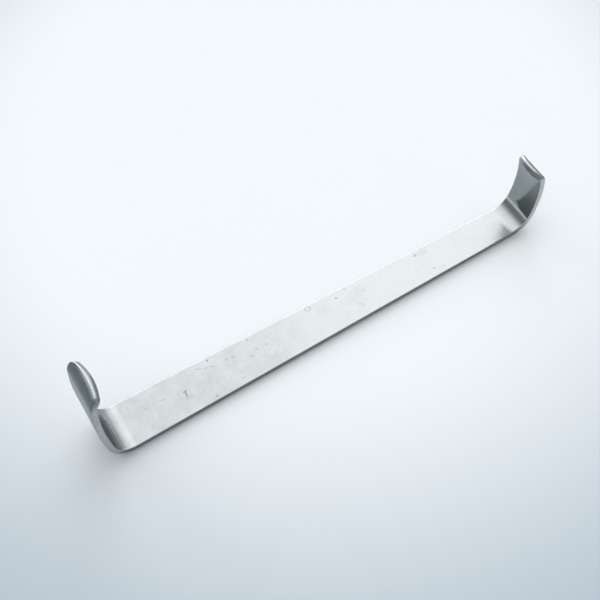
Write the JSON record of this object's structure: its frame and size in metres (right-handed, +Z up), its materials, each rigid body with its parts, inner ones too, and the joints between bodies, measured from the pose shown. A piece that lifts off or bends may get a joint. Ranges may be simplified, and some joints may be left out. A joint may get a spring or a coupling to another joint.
{
  "type": "surgical retractor",
  "caption": "One-piece double-ended hand retractor: a flat tapered steel strap whose ends turn up into bowed blades, each with a short rounded lip curled inwards.",
  "frame": {"origin": "middle of the bounding box at the height of the handle's underside, on the surface that the handle rests on", "axes": "+X along the handle from the wide blade to the narrow blade, +Y across the strap, +Z up, the way both blades stand"},
  "size_m": [0.161, 0.016, 0.039],
  "materials": {
    "steel": "satin-polished stainless steel with fine lengthwise grain, small pits and faint stains"
  },
  "bodies": {
    "root": {"retractor_strap": "steel"}
  },
  "joints": []
}
